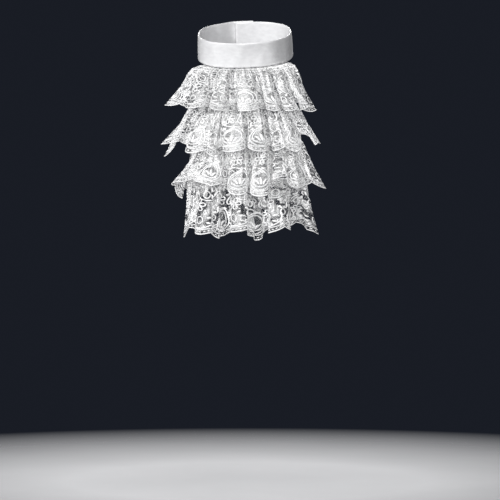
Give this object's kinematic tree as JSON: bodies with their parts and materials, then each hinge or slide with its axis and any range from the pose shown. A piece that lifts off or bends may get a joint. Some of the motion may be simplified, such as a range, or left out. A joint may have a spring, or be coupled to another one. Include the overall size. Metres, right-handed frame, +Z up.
{
  "type": "lace jabot ruff collar",
  "caption": "Stand-up satin neckband with gathered tiers of scalloped floral lace hanging from its front over a sheer net strip, closed at the back.",
  "frame": {"origin": "middle of the neckband, where the neck holds it", "axes": "+Z up as worn, -Y out of the collar's front, +X towards the wearer's left"},
  "size_m": [0.2243, 0.213, 0.3143],
  "materials": {
    "satin": "white satin with a soft sheen",
    "lace": "white floral lace on a sheer net ground",
    "backing": "sheer white net",
    "tape": "matt white hook and loop tape"
  },
  "bodies": {
    "root": {"neckband": "satin", "hook_tape": "tape", "loop_tape": "tape", "backing": "backing", "lace_tier_1": "lace", "lace_tier_2": "lace", "lace_tier_3": "lace", "lace_tier_4": "lace"}
  },
  "joints": []
}
